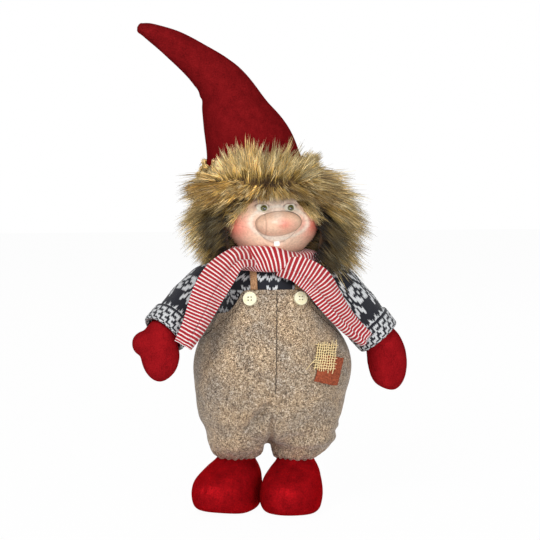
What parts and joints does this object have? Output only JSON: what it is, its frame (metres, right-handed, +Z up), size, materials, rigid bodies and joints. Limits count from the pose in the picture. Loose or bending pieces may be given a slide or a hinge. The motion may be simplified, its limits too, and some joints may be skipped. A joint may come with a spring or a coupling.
{
  "type": "stuffed troll figure",
  "caption": "Standing stuffed folk troll with a drooping pointed felt hat, long fur hair, bib overalls, knitted jumper, striped scarf, mittens and boots.",
  "frame": {"origin": "on the floor, under the middle of the figure's bounding box", "axes": "+Z up from the boot soles to the hat, the face looks along -Y, +X towards the figure's left hand"},
  "size_m": [0.261, 0.133, 0.4481],
  "materials": {
    "red_felt": "matte",
    "tweed": "matte",
    "nordic_knit": "matte",
    "striped_jersey": "matte",
    "jute": "matte",
    "burlap": "matte",
    "brown_cloth": "matte",
    "stuffing": "matte",
    "fur": "matte",
    "elastic": "matte",
    "pellets": "matte",
    "dowel_wood": "matte",
    "joint_plastic": "matte",
    "face_skin": "satin",
    "eye_green": "gloss",
    "tooth_white": "gloss",
    "button_cream": "satin"
  },
  "bodies": {
    "torso": {"torso_stuffing": "stuffing", "overalls": "tweed", "sweater_body": "nordic_knit", "burlap_patch": "burlap", "brown_patch": "brown_cloth", "scarf_wrap": "striped_jersey", "scarf_right_end": "striped_jersey", "scarf_left_end": "striped_jersey", "neck_peg": "dowel_wood", "right_strap": "jute", "right_button": "button_cream", "right_shoulder_pin": "joint_plastic", "right_body_disc": "joint_plastic", "right_leg_stuffing": "stuffing", "right_leg_dowel": "dowel_wood", "right_hem_elastic": "elastic", "right_boot": "red_felt", "right_insole": "dowel_wood", "right_boot_weight": "pellets", "left_strap": "jute", "left_button": "button_cream", "left_shoulder_pin": "joint_plastic", "left_body_disc": "joint_plastic", "left_leg_stuffing": "stuffing", "left_leg_dowel": "dowel_wood", "left_hem_elastic": "elastic", "left_boot": "red_felt", "left_insole": "dowel_wood", "left_boot_weight": "pellets"},
    "head": {"head_core": "stuffing", "face_mask": "face_skin", "nose": "face_skin", "right_eye": "eye_green", "left_eye": "eye_green", "tooth": "tooth_white", "wig": "fur", "hat_cone": "red_felt", "hat_stuffing": "stuffing"},
    "hat_peak": {"hat_peak": "red_felt", "peak_stuffing": "stuffing"},
    "right_arm": {"right_sleeve": "nordic_knit", "right_arm_stuffing": "stuffing", "right_mitten": "red_felt", "right_hand_stuffing": "stuffing", "right_arm_disc": "joint_plastic"},
    "left_arm": {"left_sleeve": "nordic_knit", "left_arm_stuffing": "stuffing", "left_mitten": "red_felt", "left_hand_stuffing": "stuffing", "left_arm_disc": "joint_plastic"}
  },
  "joints": [
    {"name": "head_turn", "type": "hinge", "parent": "torso", "child": "head", "pos_m": [0, 0, 0.229], "axis": [0, 0, 1], "range_deg": [-35, 35]},
    {"name": "hat_peak_bend", "type": "hinge", "parent": "head", "child": "hat_peak", "pos_m": [-0.04, 0, 0.3845], "axis": [0, 1, 0], "range_deg": [-25, 25]},
    {"name": "right_arm_swing", "type": "hinge", "parent": "torso", "child": "right_arm", "pos_m": [-0.0498, 0, 0.207], "axis": [-1, 0, 0], "range_deg": [-65, 45], "deforming": ["scarf_right_end"]},
    {"name": "left_arm_swing", "type": "hinge", "parent": "torso", "child": "left_arm", "pos_m": [0.0498, 0, 0.207], "axis": [-1, 0, 0], "range_deg": [-30, 80], "deforming": ["scarf_left_end"]}
  ]
}
